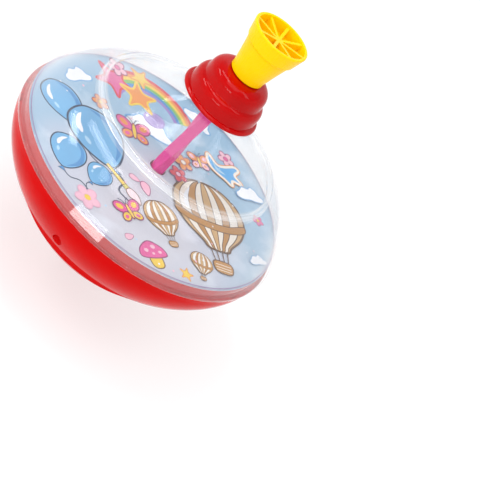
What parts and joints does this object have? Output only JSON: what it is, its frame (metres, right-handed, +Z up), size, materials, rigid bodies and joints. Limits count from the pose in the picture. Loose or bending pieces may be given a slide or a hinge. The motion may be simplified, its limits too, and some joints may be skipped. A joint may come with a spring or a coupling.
{
  "type": "spinning top",
  "caption": "Pump-action spinning top: a clear dome over a printed disc, a red bowl on a round foot tip, and a yellow knob on a twisted rod that drives it.",
  "frame": {"origin": "the point of the foot tip that touches the ground, on the spin axis", "axes": "+Z up along the spin axis, from the foot tip to the knob; +X towards the sound switch's side, -X towards the battery door"},
  "size_m": [0.1916, 0.1916, 0.219],
  "materials": {
    "clear_plastic": "clear injection-moulded polystyrene, glossy",
    "red_plastic": "glossy moulded red plastic",
    "yellow_plastic": "satin moulded yellow plastic",
    "pink_plastic": "glossy moulded pink plastic",
    "white_plastic": "satin white plastic",
    "printed_sheet": "printed sheet, satin",
    "steel": "zinc-plated screw steel",
    "cell_steel": "bright nickel-plated steel",
    "board_green": "green solder mask",
    "black_plastic": "satin black plastic",
    "led_lens": "clear lens",
    "dark_steel": "blackened steel",
    "black_paper": "black speaker film",
    "magnet": "ferrite magnet with its plate"
  },
  "bodies": {
    "body": {"dome": "clear_plastic", "collar": "red_plastic", "clutch_ring": "white_plastic", "picture_disc": "printed_sheet", "disc_carrier": "white_plastic", "guide_tube": "white_plastic", "lower_shell": "red_plastic", "case_screws": "steel", "hub_cover": "red_plastic", "hub_screws": "steel", "foot_tip": "red_plastic", "battery_door": "red_plastic", "door_screw": "steel", "battery_tray": "white_plastic", "button_cells": "cell_steel", "cell_contacts": "cell_steel", "circuit_board": "board_green", "circuit_parts": "black_plastic", "board_screws": "steel", "motion_switch": "cell_steel", "leds": "led_lens", "speaker_frame": "dark_steel", "speaker_cone": "black_paper", "speaker_magnet": "magnet", "switch_body": "black_plastic"},
    "driver": {"driver": "white_plastic"},
    "bush": {"end_bush": "white_plastic"},
    "spindle": {"twisted_rod": "pink_plastic", "knob": "yellow_plastic", "rod_end_screw": "steel"},
    "slider": {"switch_slider": "red_plastic"}
  },
  "joints": [
    {"name": "driver_spin", "type": "hinge", "parent": "body", "child": "driver", "pos_m": [0, 0, 0.1762], "axis": [0, 0, 1], "continuous": true},
    {"name": "pump_slide", "type": "slide", "parent": "driver", "child": "bush", "axis": [0, 0, 1], "range_m": [0, 0.1]},
    {"name": "rod_twist", "type": "hinge", "parent": "bush", "child": "spindle", "pos_m": [0, 0, 0.0636], "axis": [0, 0, 1], "range_deg": [0, 180]},
    {"name": "switch_slide", "type": "slide", "parent": "body", "child": "slider", "axis": [0.165, 0.9863, 0], "range_m": [0, 0.004]}
  ],
  "couplings": [
    {"joint": "rod_twist", "follows": "pump_slide", "rad_per_m": 31.416}
  ]
}
